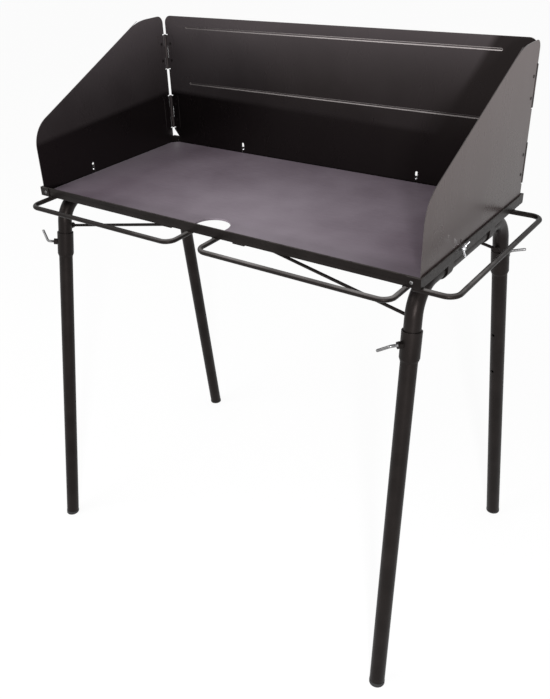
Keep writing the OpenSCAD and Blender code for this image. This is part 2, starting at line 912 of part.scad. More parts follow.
module back_panel() {
    bead_heights = [rail_top + bead_low, rail_top + bead_high];
    color(enamel) {
        sheet_xz(panel_in_y, panel_t)
            difference() {
                rounded_outline(
                    [[-back_end, shelf_top + foot_cut_h], [foot_cut_w - back_end, shelf_top],
                        [back_end - foot_cut_w, shelf_top], [back_end, shelf_top + foot_cut_h],
                        [back_end, panel_top], [-back_end, panel_top]],
                    [0, 0, 0, 0, corner_r, corner_r]);
                for (side = [-1, 1])
                    translate([side * wing_side, 0])
                        panel_slot(shelf_top);
                for (side = [-1, 1], z = hinge_starts, up = [1, 3])
                    translate([side * (pin_x - rivet_x), z + up * hinge_h / 4])
                        circle(rivet_r);
                for (z = bead_heights)
                    bead_hole(z);
                for (flip = [0, 1])
                    mirror([flip, 0])
                        barrel_notches(pin_x);
            }
        for (z = bead_heights)
            bead(z);
    }
}
module left_panel() { color(enamel) side_panel(-1); }
module right_panel() { color(enamel) side_panel(1); }
module left_back_leaves() { color(enamel) at_back_leaves(-1) leaf([0, 2], pin_r); }
module right_back_leaves() { color(enamel) at_back_leaves(1) leaf([0, 2], pin_r); }
module left_side_leaves() { color(enamel) at_side_leaves(-1) leaf([1], pin_r + pin_clear); }
module right_side_leaves() { color(enamel) at_side_leaves(1) leaf([1], pin_r + pin_clear); }
module left_hinge_pins() { color(enamel) hinge_pins(-1); }
module right_hinge_pins() { color(enamel) hinge_pins(1); }
module back_rivets() {
    color(enamel)
        for (side = [-1, 1])
            at_back_leaves(side)
                leaf_rivets();
}
module left_rivets() { color(enamel) at_side_leaves(-1) leaf_rivets(); }
module right_rivets() { color(enamel) at_side_leaves(1) leaf_rivets(); }
module left_wing_screw() { color(zinc) at_wing(-1) wing_screw(half_w - panel_in_x); }
module right_wing_screw() { color(zinc) at_wing(1) wing_screw(half_w - panel_in_x); }
module back_left_wing_screw() { color(zinc) at_back_wing(-1) wing_screw(rail_y - panel_in_y); }
module back_right_wing_screw() { color(zinc) at_back_wing(1) wing_screw(rail_y - panel_in_y); }
module left_leg_frame() { color(paint) leg_frame(-1); }
module right_leg_frame() { color(paint) leg_frame(1); }
module left_brace_studs() { color(paint) brace_studs(-1); }
module right_brace_studs() { color(paint) brace_studs(1); }
module front_left_brace() { color(paint) brace(-1, -1); }
module front_right_brace() { color(paint) brace(1, -1); }
module back_left_brace() { color(paint) brace(-1, 1); }
module back_right_brace() { color(paint) brace(1, 1); }
module front_left_leg() { color(paint) lower_leg(-1, -1, front_left_facing); }
module front_right_leg() { color(paint) lower_leg(1, -1, front_right_facing); }
module back_left_leg() { color(paint) lower_leg(-1, 1, back_left_facing); }
module back_right_leg() { color(paint) lower_leg(1, 1, back_right_facing); }
module front_left_nut() { color(paint) clamp_nut(-1, -1, front_left_facing); }
module front_right_nut() { color(paint) clamp_nut(1, -1, front_right_facing); }
module back_left_nut() { color(paint) clamp_nut(-1, 1, back_left_facing); }
module back_right_nut() { color(paint) clamp_nut(1, 1, back_right_facing); }
module front_left_clamp() { color(zinc) clamp_screw(-1, -1, front_left_facing); }
module front_right_clamp() { color(zinc) clamp_screw(1, -1, front_right_facing); }
module back_left_clamp() { color(zinc) clamp_screw(-1, 1, back_left_facing); }
module back_right_clamp() { color(zinc) clamp_screw(1, 1, back_right_facing); }
module front_left_foot() { color(rubber) foot_plug(-1, -1); }
module front_right_foot() { color(rubber) foot_plug(1, -1); }
module back_left_foot() { color(rubber) foot_plug(-1, 1); }
module back_right_foot() { color(rubber) foot_plug(1, 1); }

front_rail();
back_rail();
left_rail();
right_rail();
corner_screws();
front_bar_left();
front_bar_right();
side_bar_left();
side_bar_right();
left_saddles();
right_saddles();
front_catches();
back_catches();
cook_plate();
back_panel();
left_panel();
right_panel();
left_back_leaves();
right_back_leaves();
left_side_leaves();
right_side_leaves();
left_hinge_pins();
right_hinge_pins();
back_rivets();
left_rivets();
right_rivets();
left_wing_screw();
right_wing_screw();
back_left_wing_screw();
back_right_wing_screw();
left_leg_frame();
right_leg_frame();
left_brace_studs();
right_brace_studs();
front_left_brace();
front_right_brace();
back_left_brace();
back_right_brace();
front_left_leg();
front_right_leg();
back_left_leg();
back_right_leg();
front_left_nut();
front_right_nut();
back_left_nut();
back_right_nut();
front_left_clamp();
front_right_clamp();
back_left_clamp();
back_right_clamp();
front_left_foot();
front_right_foot();
back_left_foot();
back_right_foot();
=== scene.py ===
import bpy
import bmesh
import math
from mathutils import Matrix, Vector


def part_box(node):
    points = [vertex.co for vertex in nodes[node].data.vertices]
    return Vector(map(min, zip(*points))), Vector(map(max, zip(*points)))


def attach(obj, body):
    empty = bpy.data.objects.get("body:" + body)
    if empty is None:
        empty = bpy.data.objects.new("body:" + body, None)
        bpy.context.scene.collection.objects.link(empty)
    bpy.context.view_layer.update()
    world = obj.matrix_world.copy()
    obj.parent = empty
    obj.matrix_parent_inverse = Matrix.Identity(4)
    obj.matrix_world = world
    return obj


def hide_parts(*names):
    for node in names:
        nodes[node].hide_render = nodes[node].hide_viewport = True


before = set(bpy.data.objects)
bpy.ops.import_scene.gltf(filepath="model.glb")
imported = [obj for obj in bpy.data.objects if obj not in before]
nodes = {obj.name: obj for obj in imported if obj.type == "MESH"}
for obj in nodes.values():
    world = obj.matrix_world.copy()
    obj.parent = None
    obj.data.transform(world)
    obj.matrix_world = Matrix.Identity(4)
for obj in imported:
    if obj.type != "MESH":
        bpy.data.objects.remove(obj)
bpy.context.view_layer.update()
print("frame loaded:", len(nodes), "nodes")

# camera at the photograph's place
cookCamera = {
    "place": (0.956246, -1.323142, 1.488536),
    "turn": (59.2225, 2.9820, 37.0988),
    "film": 36,  # mm along the tall side
    "lens": 40.584,
    "shift": 0.0533,
    "sight": 60,
}
bpy.ops.object.select_all(action="DESELECT")
bpy.ops.object.camera_add(location=cookCamera["place"],
                          rotation=[math.radians(a) for a in cookCamera["turn"]])
camera = bpy.context.object
camera.data.sensor_width = cookCamera["film"]
camera.data.lens = cookCamera["lens"]
camera.data.shift_x = cookCamera["shift"]
camera.data.clip_end = cookCamera["sight"]
bpy.context.scene.camera = camera
bpy.context.scene.view_settings.view_transform = "Standard"
print("camera set")


# shader helpers: they add nodes and give back the output, apart from addBump, which links to the shader

def addMath(tree, kind, first, second=0):
    step = tree.nodes.new("ShaderNodeMath")
    step.operation = kind
    for socket, value in zip(step.inputs, (first, second)):
        if isinstance(value, (int, float)):
            socket.default_value = value
        else:
            tree.links.new(value, socket)
    return step.outputs[0]


def addMix(tree, share, first, second):
    mix = tree.nodes.new("ShaderNodeMix")
    mix.data_type = "RGBA"
    tree.links.new(share, mix.inputs[0])
    for socket, value in ((mix.inputs[6], first), (mix.inputs[7], second)):
        if isinstance(value, tuple):
            socket.default_value = (*value, 1)
        else:
            tree.links.new(value, socket)
    return mix.outputs[2]


def addSplit(tree, source):
    split = tree.nodes.new("ShaderNodeSeparateXYZ")
    tree.links.new(source, split.inputs[0])
    return split.outputs


def addNoise(tree, place, size, detail, stretch=None):
    noise = tree.nodes.new("ShaderNodeTexNoise")
    noise.inputs["Scale"].default_value = size
    noise.inputs["Detail"].default_value = detail
    if stretch:
        turn = tree.nodes.new("ShaderNodeMapping")
        turn.inputs["Scale"].default_value = stretch
        tree.links.new(place.outputs["Object"], turn.inputs["Vector"])
        tree.links.new(turn.outputs[0], noise.inputs["Vector"])
    else:
        tree.links.new(place.outputs["Object"], noise.inputs["Vector"])
    return noise.outputs["Fac"]


def addRamp(tree, source, low, high, lowAt=0.35, highAt=0.65):
    ramp = tree.nodes.new("ShaderNodeValToRGB")
    ramp.color_ramp.elements[0].position = lowAt
    ramp.color_ramp.elements[1].position = highAt
    ramp.color_ramp.elements[0].color = (*low, 1)
    ramp.color_ramp.elements[1].color = (*high, 1)
    tree.links.new(source, ramp.inputs[0])
    return ramp.outputs[0]


def addRange(tree, source, low, high, fromLow=0.3, fromHigh=0.7):
    span = tree.nodes.new("ShaderNodeMapRange")
    span.inputs["From Min"].default_value = fromLow
    span.inputs["From Max"].default_value = fromHigh
    span.inputs["To Min"].default_value = low
    span.inputs["To Max"].default_value = high
    tree.links.new(source, span.inputs["Value"])
    return span.outputs[0]


def addBump(tree, shade, source, strength, depth):
    bump = tree.nodes.new("ShaderNodeBump")
    bump.inputs["Strength"].default_value = strength
    bump.inputs["Distance"].default_value = depth
    tree.links.new(source, bump.inputs["Height"])
    tree.links.new(bump.outputs[0], shade.inputs["Normal"])


edgeRub = {"grain": (60, 4), "share": (0.25, 1, 0.35, 0.6)}


def addWear(tree, place, axis, middle, width, under, worn):
    # a thin line along an edge where the coat is rubbed, broken up by noise
    away = addMath(tree, "SUBTRACT", addSplit(tree, place.outputs["Object"])[axis], middle)
    near = addRange(tree, addMath(tree, "ABSOLUTE", away), 1, 0, 0, width)
    patch = addRange(tree, addNoise(tree, place, *edgeRub["grain"]), *edgeRub["share"])
    return addMix(tree, addMath(tree, "MULTIPLY", near, patch), under, worn)


def startFinish(name):
    finish = bpy.data.materials.new(name)
    finish.use_nodes = True
    tree = finish.node_tree
    return finish, tree, tree.nodes["Principled BSDF"], tree.nodes.new("ShaderNodeTexCoord")


# studio: white floor, white surround, two soft boxes
studio = {
    "floorSize": 40, "floorDrop": 0.0005, "floorRough": 0.9,
    "floorColor": (0.93, 0.93, 0.93, 1),
    "floorGlow": 0.86,  # share of plain white that the camera and reflections see
    "glowLevel": 1.04,
    "surround": 0.52,
    "boxes": [
        {"name": "keyBox", "place": (-1.6, -2.4, 3.2), "aim": (0, 0, 0.9), "size": 2.2, "power": 40},
        {"name": "sideBox", "place": (1.75, -2.4, 1.34), "aim": (0, 0, 1.0), "size": 0.22, "power": 62},
    ],
}


def brightRays(tree):
    # camera, glossy and transmission rays see plain white
    path = tree.nodes.new("ShaderNodeLightPath")
    seen = addMath(tree, "MAXIMUM", path.outputs["Is Camera Ray"], path.outputs["Is Glossy Ray"])
    return addMath(tree, "MAXIMUM", seen, path.outputs["Is Transmission Ray"])


def mixShaders(tree, share, first, second, target):
    mix = tree.nodes.new("ShaderNodeMixShader")
    tree.links.new(share, mix.inputs[0])
    tree.links.new(first.outputs[0], mix.inputs[1])
    tree.links.new(second.outputs[0], mix.inputs[2])
    tree.links.new(mix.outputs[0], target.inputs["Surface"])


def buildStudio():
    world = bpy.data.worlds.new("whiteSurround")
    bpy.context.scene.world = world
    world.use_nodes = True
    tree = world.node_tree
    tree.nodes.clear()
    out = tree.nodes.new("ShaderNodeOutputWorld")
    dim = tree.nodes.new("ShaderNodeBackground")
    white = tree.nodes.new("ShaderNodeBackground")
    for light in (dim, white):
        light.inputs["Color"].default_value = (1, 1, 1, 1)
    dim.inputs["Strength"].default_value = studio["surround"]
    mixShaders(tree, brightRays(tree), dim, white, out)

    bpy.ops.object.select_all(action="DESELECT")
    bpy.ops.mesh.primitive_plane_add(size=studio["floorSize"], location=(0, 0, -studio["floorDrop"]))
    floor = bpy.context.object
    floor.name = "studioFloor"
    paint = bpy.data.materials.new("paleFloor")
    paint.use_nodes = True
    tree = paint.node_tree
    shade = tree.nodes["Principled BSDF"]
    shade.inputs["Base Color"].default_value = studio["floorColor"]
    shade.inputs["Roughness"].default_value = studio["floorRough"]
    glow = tree.nodes.new("ShaderNodeEmission")
    glow.inputs["Strength"].default_value = studio["glowLevel"]
    share = addMath(tree, "MULTIPLY", brightRays(tree), studio["floorGlow"])
    mixShaders(tree, share, shade, glow, tree.nodes["Material Output"])
    floor.data.materials.append(paint)

    for lamp in studio["boxes"]:
        bpy.ops.object.light_add(type="AREA", location=lamp["place"])
        box = bpy.context.object
        box.name = lamp["name"]
        box.data.shape = "SQUARE"
        box.data.size = lamp["size"]
        box.data.energy = lamp["power"]
        aim = Vector(lamp["aim"]) - Vector(lamp["place"])
        box.rotation_euler = aim.to_track_quat("-Z", "Y").to_euler()


buildStudio()
print("studio lit")


# powder coat of the frame, the legs and the bars
powderBlack = {
    "dark": (0.0052, 0.0044, 0.0042), "light": (0.0092, 0.0078, 0.0074), "cloud": (18, 5),
    "worn": (0.05, 0.044, 0.042), "topEdge": 0.914, "wornWidth": 0.0011,
    "shine": 0.14, "tint": (1, 0.84, 0.80, 1),
    "rough": (0.34, 0.46), "roughGrain": (240, 3),
    "peel": (1400, 2), "peelBump": (0.25, 0.0002),
    # painted highlight on the bars' tops: its colour, the upward faces it covers, its patches and how much smoother
    # it leaves them
    "paintedHighlight": (0.27, 0.255, 0.25), "highlightTop": (0.5, 0.97), "highlightGrain": (5, 4),
    "highlightShare": (0.05, 1, 0.40, 0.62), "polish": 0.15,
}


def makePowderBlack(name, paintTopHighlight):
    # the last argument is for the bars, whose tops carry a painted highlight: upward faces are lighter in patches and
    # less rough there
    finish, tree, shade, place = startFinish(name)
    shade.inputs["Specular IOR Level"].default_value = powderBlack["shine"]
    shade.inputs["Specular Tint"].default_value = powderBlack["tint"]
    cloud = addNoise(tree, place, *powderBlack["cloud"])
    coat = addRamp(tree, cloud, powderBlack["dark"], powderBlack["light"])
    coat = addWear(tree, place, 2, powderBlack["topEdge"], powderBlack["wornWidth"], coat, powderBlack["worn"])
    rough = addRange(tree, addNoise(tree, place, *powderBlack["roughGrain"]), *powderBlack["rough"])
    if paintTopHighlight:
        upward = addSplit(tree, place.outputs["Normal"])[2]
        top = addRange(tree, upward, 0, 1, *powderBlack["highlightTop"])
        patch = addRange(tree, addNoise(tree, place, *powderBlack["highlightGrain"]), *powderBlack["highlightShare"])
        # rub is the share of the painted highlight on the bars' tops
        rub = addMath(tree, "MULTIPLY", top, patch)
        coat = addMix(tree, rub, coat, powderBlack["paintedHighlight"])
        rough = addMath(tree, "SUBTRACT", rough, addMath(tree, "MULTIPLY", rub, powderBlack["polish"]))
    tree.links.new(rough, shade.inputs["Roughness"])
    tree.links.new(coat, shade.inputs["Base Color"])
    addBump(tree, shade, addNoise(tree, place, *powderBlack["peel"]), *powderBlack["peelBump"])
    return finish


# enamel of the windscreen, with painted light: a darker band above the plate is a painted reflection of the plate
gloss = {
    "dark": (0.017, 0.0142, 0.0147), "light": (0.056, 0.0485, 0.0510), "reflectionBand": (0.0040, 0.0031, 0.0033),
    "cloud": (7, 4), "cloudShare": (-0.07, 0.07),
    "bandTop": 1.0195, "soft": 0.006, "sheetTop": 1.212,
    "leftLight": 0.32, "leftEnd": (-0.45, -0.05),
    # strength, slant, place and softness of the painted shadow on the back sheet's right end
    "paintedShadow": 0.9, "slant": 0.532, "paintedShadowAt": -0.2638, "paintedShadowSoft": 0.008,
    "outLow": (0.033, 0.0240, 0.0232), "outHigh": (0.092, 0.0690, 0.0670), "outHeight": (0.91, 1.2),
    "cookSide": (0.3, 0.6), "rim": (0.62, 0.99), "highlightFrom": (-0.36, 0),
    "sideEdge": (0.066, 0.060, 0.059), "leafEdge": (0.03, 0.026, 0.026),
    "beadHighlightLeft": (0.115, 0.106, 0.105), "beadHighlightRight": (0.62, 0.575, 0.570),
    "shine": 0.22, "tint": (1, 0.82, 0.80, 1),
    "rough": (0.25, 0.31), "smear": (11, 6, (1, 1, 0.35)),
    "peel": (420, 2), "peelBump": (0.012, 0.0002),
}
# across is the axis through the sheet and inward the cook side's direction along it; rise tilts the top of the
# painted reflection band, levels are for the dark, the light and the band tone and differ by sheet, painting the
# light each sheet gets, and curve is how late the painted light pales the sheet towards its top
sheets = {
    "left": {"across": 0, "inward": 1, "rise": -0.05, "levels": (1.35, 1.5, 1.5), "curve": 1.5},
    "right": {"across": 0, "inward": -1, "rise": -0.05, "levels": (1, 1, 1), "curve": 1.5},
    "back": {"across": 1, "inward": -1, "rise": 0.027, "levels": (0.49, 0.94, 0.65), "curve": 2.4},
}


def makeScreenGloss(name, sheet, edges):
    finish, tree, shade, place = startFinish(name)
    across = sheet["across"]
    dark, light, low = (tuple(level * c for c in gloss[part])
                        for part, level in zip(("dark", "light", "reflectionBand"), sheet["levels"]))
    shade.inputs["Specular IOR Level"].default_value = gloss["shine"]
    shade.inputs["Specular Tint"].default_value = gloss["tint"]
    facing = addSplit(tree, place.outputs["Normal"])[across]
    spot = addSplit(tree, place.outputs["Object"])
    cloud = addRange(tree, addNoise(tree, place, *gloss["cloud"]), *gloss["cloudShare"])
    # painted light: the cook face pales from the band's top up to the sheet's top
    climb = addMath(tree, "POWER", addRange(tree, spot[2], 0, 1, gloss["bandTop"], gloss["sheetTop"]), sheet["curve"])
    if across == 1:  # the back sheet is paler towards its left end, painted light
        climb = addMath(tree, "ADD", climb, addRange(tree, spot[0], gloss["leftLight"], 0, *gloss["leftEnd"]))
    tone = addRamp(tree, addMath(tree, "ADD", climb, cloud), dark, light, 0, 1)
    if across == 1:  # and darkened at its right end by a painted shadow of the right sheet
        slant = addMath(tree, "SUBTRACT", spot[0], addMath(tree, "MULTIPLY", spot[2], gloss["slant"]))
        paintedShadow = addRange(tree, slant, 0, gloss["paintedShadow"],
                         gloss["paintedShadowAt"] - gloss["paintedShadowSoft"], gloss["paintedShadowAt"] + gloss["paintedShadowSoft"])
        tone = addMix(tree, paintedShadow, tone, low)
    # painted reflection of the plate: below the band's top the cook face takes the band tone
    lift = addMath(tree, "ADD", spot[2], addMath(tree, "MULTIPLY", spot[1 - across], sheet["rise"]))
    under = addRange(tree, lift, 1, 0, gloss["bandTop"] - gloss["soft"], gloss["bandTop"] + gloss["soft"])
    cookFace = addMix(tree, under, tone, low)
    # painted shade on the outer faces: darker towards the bottom, paler towards the top
    height = addRange(tree, spot[2], 0, 1, *gloss["outHeight"])
    outFace = addMix(tree, height, gloss["outLow"], gloss["outHigh"])
    inner = addRange(tree, addMath(tree, "MULTIPLY", facing, sheet["inward"]), 0, 1, *gloss["cookSide"])
    bothFaces = addMix(tree, inner, outFace, cookFace)
    # beads and cut edges are paler: the beads carry a painted highlight, the cut edges partly their own pale edge and
    # partly a painted highlight, and on the back sheet the painted bead highlight grows brighter towards the upper
    # right
    paintedHighlight = addMath(tree, "MULTIPLY", addRange(tree, spot[0], 0, 1, *gloss["highlightFrom"]), height)
    rim = addRange(tree, addMath(tree, "ABSOLUTE", facing), 1, 0, *gloss["rim"])
    tree.links.new(addMix(tree, rim, bothFaces, addMix(tree, paintedHighlight, *edges)), shade.inputs["Base Color"])
    rough = addRange(tree, addNoise(tree, place, *gloss["smear"]), *gloss["rough"])
    tree.links.new(rough, shade.inputs["Roughness"])
    addBump(tree, shade, addNoise(tree, place, *gloss["peel"]), *gloss["peelBump"])
    return finish


# bare steel of the cook plate, with painted light: paler in the middle, at the front right, in the back left corner
# and at the left end, and a painted shadow of the right sheet at the right end
plateFace = {
    # rim and the pale middle colour are the two ends of a painted pool of light
    "rim": (0.120, 0.089, 0.114), "litMiddle": (0.389, 0.335, 0.386), "reach": 1.4,
    "middle": (0.05, -0.09, 0.9), "ring": (0.02, 0.5), "mottle": (9, 7), "mottleShare": (-0.16, 0.16),
    "corner": 0.34, "cornerFrom": (0.25, 0.55),  # back left corner, by y - x
    "frontLight": 0.38, "frontFrom": (-0.215, -0.13), "frontSide": (-0.1, 0.1),
    "leftLight": 0.42, "leftFrom": (-0.43, -0.35),
    "rightShadow": 0.3, "rightFrom": (0.32, 0.44),
    "worn": (0.46, 0.425, 0.45), "wornWidth": 0.0036, "front": -0.2274,
    "shine": 0.35, "rough": (0.46, 0.60), "rub": (40, 5, (1, 3.5, 1)),
    "grain": (900, 3), "grainBump": (0.12, 0.0002),
}


def makePlateSteel():
    finish, tree, shade, place = startFinish("plateSteel")
    shade.inputs["Specular IOR Level"].default_value = plateFace["shine"]
    away = tree.nodes.new("ShaderNodeVectorMath")
    away.operation = "DISTANCE"
    away.inputs[1].default_value = plateFace["middle"]
    tree.links.new(place.outputs["Object"], away.inputs[0])
    spot = addSplit(tree, place.outputs["Object"])
    front = addRange(tree, spot[1], plateFace["frontLight"], 0, *plateFace["frontFrom"])
    patch = addRange(tree, away.outputs["Value"], 1, 0, *plateFace["ring"])
    # the steel's own random mottle, then painted light at the back left corner, the front right and the left end, and
    # a painted shadow at the right end
    for lift in (
        addRange(tree, addNoise(tree, place, *plateFace["mottle"]), *plateFace["mottleShare"]),
        addRange(tree, addMath(tree, "SUBTRACT", spot[1], spot[0]), 0, plateFace["corner"], *plateFace["cornerFrom"]),
        addMath(tree, "MULTIPLY", front, addRange(tree, spot[0], 0, 1, *plateFace["frontSide"])),
        addRange(tree, spot[0], plateFace["leftLight"], 0, *plateFace["leftFrom"]),
        addRange(tree, spot[0], 0, -plateFace["rightShadow"], *plateFace["rightFrom"]),
    ):
        patch = addMath(tree, "ADD", patch, lift)
    patch = addRange(tree, patch, 0, 1, 0, plateFace["reach"])
    steel = addRamp(tree, patch, plateFace["rim"], plateFace["litMiddle"], 0, 1)
    low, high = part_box("cook_plate")
    for axis, edge in ((1, plateFace["front"]), (0, low[0]), (0, high[0])):
        steel = addWear(tree, place, axis, edge, plateFace["wornWidth"], steel, plateFace["worn"])
    tree.links.new(steel, shade.inputs["Base Color"])
    rough = addRange(tree, addNoise(tree, place, *plateFace["rub"]), *plateFace["rough"])
    tree.links.new(rough, shade.inputs["Roughness"])
    addBump(tree, shade, addNoise(tree, place, *plateFace["grain"]), *plateFace["grainBump"])
    return finish


# zinc of the screws: bright on the wings, dull on the corner screws, and dull and darker on the clamps, whose darker
# zinc colour is painted shade
zincGrain = {"cells": (0.1, 0.9), "smear": (380, 4), "pits": (900, 2), "pitBump": (0.08, 0.0002)}
zincCoat = {"dark": (0.56, 0.56, 0.58), "light": (0.80, 0.80, 0.82), "rough": (0.16, 0.34), "spangle": 700}
shadedClampCoat = {"dark": (0.13, 0.128, 0.13), "light": (0.33, 0.327, 0.33), "rough": (0.24, 0.40), "spangle": 700}
dullCoat = {"dark": (0.13, 0.126, 0.126), "light": (0.24, 0.236, 0.236), "rough": (0.36, 0.52), "spangle": 900}


def makeZinc(name, coat):
    finish, tree, shade, place = startFinish(name)
    cells = tree.nodes.new("ShaderNodeTexVoronoi")
    cells.inputs["Scale"].default_value = coat["spangle"]
    tree.links.new(place.outputs["Object"], cells.inputs["Vector"])
    spangle = addRamp(tree, cells.outputs["Distance"], coat["light"], coat["dark"], *zincGrain["cells"])
    tree.links.new(spangle, shade.inputs["Base Color"])
    shade.inputs["Metallic"].default_value = 1
    rough = addRange(tree, addNoise(tree, place, *zincGrain["smear"]), *coat["rough"])
    tree.links.new(rough, shade.inputs["Roughness"])
    addBump(tree, shade, addNoise(tree, place, *zincGrain["pits"]), *zincGrain["pitBump"])
    return finish


footRubber = {"dark": (0.008, 0.008, 0.008), "light": (0.018, 0.0175, 0.017), "scuff": (45, 6), "rough": (0.55, 0.8),
              "grain": (1100, 2), "grainBump": (0.3, 0.0003)}


def makeFootRubber():
    finish, tree, shade, place = startFinish("footRubber")
    scuff = addNoise(tree, place, *footRubber["scuff"])
    tree.links.new(addRamp(tree, scuff, footRubber["dark"], footRubber["light"]), shade.inputs["Base Color"])
    tree.links.new(addRange(tree, scuff, *footRubber["rough"]), shade.inputs["Roughness"])
    addBump(tree, shade, addNoise(tree, place, *footRubber["grain"]), *footRubber["grainBump"])
    return finish


blackPaint = makePowderBlack("powderBlack", False)
barPaint = makePowderBlack("barBlack", True)
sheetGloss, leafGloss = {}, {}
# each sheet's hinge leaves carry the same painted light as the sheet
for side, sheet in sheets.items():
    # the back sheet's beads get painted highlights; the other sheets' and the leaves' edges are partly their pale cut
    # edge and partly painted highlight
    paleEdgesAndHighlights = (gloss["beadHighlightLeft"], gloss["beadHighlightRight"]) if side == "back" else (gloss["sideEdge"],) * 2
    sheetGloss[side] = makeScreenGloss("screenGloss" + side.title(), sheet, paleEdgesAndHighlights)
    leafGloss[side] = makeScreenGloss("leafGloss" + side.title(), sheet, (gloss["leafEdge"],) * 2)
plateSteel = makePlateSteel()
brightZinc = makeZinc("brightZinc", zincCoat)
shadedClampZinc = makeZinc("shadedClampZinc", shadedClampCoat)
dullZinc = makeZinc("dullZinc", dullCoat)
rubberCap = makeFootRubber()
print("finishes ready")


# machined nodes: finish, merged corners, small edge rounding by kind
nodeEdges = {"rail": 0.0006, "bar": 0.0003, "saddles": 0.0008, "catches": 0.0005, "plate": 0.0005,
             "panel": 0.0005, "leaves": 0.0002, "rivets": 0.0006, "pins": 0.0003, "nut": 0.0009,
             "leg": 0.0005, "foot": 0.0009, "studs": 0.0005, "brace": 0.0003, "frame": 0.0003,
             "screw": 0.0003, "screws": 0.0003, "clamp": 0.0003}
edgeEase = {"merge": 0.00002, "steps": 2, "sharpFrom": 32, "weight": 60}


def dressNode(node, finish, rounding):
    if node.data.materials:
        node.material_slots[0].material = finish
    else:
        node.data.materials.append(finish)
    weld = node.modifiers.new("mergeCorners", "WELD")
    weld.merge_threshold = edgeEase["merge"]
    soften = node.modifiers.new("easeEdges", "BEVEL")
    soften.width = rounding
    soften.segments = edgeEase["steps"]
    soften.limit_method = "ANGLE"
    soften.angle_limit = math.radians(edgeEase["sharpFrom"])
    soften.use_clamp_overlap = True
    even = node.modifiers.new("evenShade", "WEIGHTED_NORMAL")
    even.keep_sharp = True
    even.weight = edgeEase["weight"]


def nodeFinish(words, kind):
    if kind == "panel":
        return sheetGloss[words[0]]
    if kind == "leaves":
        return leafGloss["back" if words[1] == "back" else words[0]]
    if kind in ("screw", "screws", "clamp"):
        return brightZinc
    return {"plate": plateSteel, "foot": rubberCap, "bar": barPaint}.get(kind, blackPaint)


for name, node in nodes.items():
    words = name.split("_")
    kind = "bar" if "bar" in words else words[-1]
    dressNode(node, nodeFinish(words, kind), nodeEdges[kind])
print("nodes dressed")


# small hardware, modelled once at the origin along +X and copied to its places

def clearSelection():
    if bpy.context.object and bpy.context.object.mode != "OBJECT":
        bpy.ops.object.mode_set(mode="OBJECT")
    bpy.ops.object.select_all(action="DESELECT")


def startRod(radius, sides, start):
    # a filled ring that faces along X, left in edit mode
    clearSelection()
    bpy.ops.mesh.primitive_circle_add(vertices=sides, radius=radius, fill_type="NGON",
                                      rotation=(0, math.pi / 2, 0), location=(start, 0, 0))
    rod = bpy.context.object
    bpy.ops.object.transform_apply(location=True, rotation=True)
    bpy.ops.object.mode_set(mode="EDIT")
    bpy.ops.mesh.select_all(action="SELECT")
    return rod


def pushCap(move, swell=(1, 1, 1)):
    bpy.ops.mesh.extrude_region_move(TRANSFORM_OT_translate={"value": move})
    bpy.ops.transform.resize(value=swell)


def pushRings(rings):
    for step, swell in rings:
        pushCap((step, 0, 0), (1, swell, swell))


def pushThread(length, pitch, depth):
    # crest and root rings, half a pitch apart
    turns = int(length / pitch)
    pushRings([(pitch / 2, 1 - depth), (pitch / 2, 1 / (1 - depth))] * turns)
    rest = length - turns * pitch
    if rest > pitch / 10:
        pushCap((rest, 0, 0))


def pickFaces(piece, wanted):
    bpy.ops.mesh.select_all(action="DESELECT")
    shape = bmesh.from_edit_mesh(piece.data)
    for face in shape.faces:
        face.select = wanted(face)
    shape.select_flush_mode()
    bmesh.update_edit_mesh(piece.data)


pieceMerge = 0.000002


def settle(piece, smoothTo):
    # doubles merged, faces outwards, smooth up to the angle
    bpy.ops.object.mode_set(mode="OBJECT")
    clearSelection()
    piece.select_set(True)
    bpy.context.view_layer.objects.active = piece
    bpy.ops.object.mode_set(mode="EDIT")
    bpy.ops.mesh.select_all(action="SELECT")
    bpy.ops.mesh.remove_doubles(threshold=pieceMerge)
    bpy.ops.mesh.normals_make_consistent(inside=False)
    bpy.ops.object.mode_set(mode="OBJECT")
    bpy.ops.object.shade_smooth_by_angle(angle=math.radians(smoothTo))


def joinPieces(pieces, name):
    clearSelection()
    for piece in pieces:
        piece.select_set(True)
    bpy.context.view_layer.objects.active = pieces[0]
    bpy.ops.object.join()
    pieces[0].name = name
    return pieces[0]


def turned(degrees, axis):
    return Matrix.Rotation(math.radians(degrees), 4, axis)


def placeCopy(model, name, matrix, body, cadNode, finish):
    clearSelection()
    model.select_set(True)
    bpy.context.view_layer.objects.active = model
    bpy.ops.object.duplicate()
    copy = bpy.context.object
    copy.name = name
    copy.matrix_world = matrix
    bpy.ops.object.transform_apply(location=True, rotation=True, scale=True)
    copy.data.materials.clear()
    copy.data.materials.append(finish)
    if cadNode:
        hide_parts(cadNode)
    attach(copy, body)
    return copy


def dropModel(model):
    clearSelection()
    model.select_set(True)
    bpy.ops.object.delete()


# wing screws of the windscreen: rings are (step, swell), wing steps (along, outwards, wider, thinner)
wingScrew = {
    "sides": 28, "shank": 0.0025, "tip": 0.0016, "dome": ((0.0004, 1.4), (0.0005, 1.25), (0.0007, 1.143)),
    "hubStart": 0.0054, "pitch": 0.0008, "threadDepth": 0.14,
    "hubLength": 0.007, "hubRadius": 0.0045, "hub": ((0.0008, 1.04), (0.0042, 0.84), (0.0012, 0.86), (0.0008, 0.6)),
    "wing": (0.0062, 0.0024, 0.003), "wingOff": 0.0036, "roundness": 2, "smoothTo": 40, "wingSmoothTo": 60,
    "wingSteps": ((0.0016, 0.0028, 1.08, 0.95), (0.0024, 0.0034, 1.10, 0.95),
                  (0.0014, 0.0022, 0.86, 0.95), (0.0005, 0.0008, 0.55, 0.9)),
}
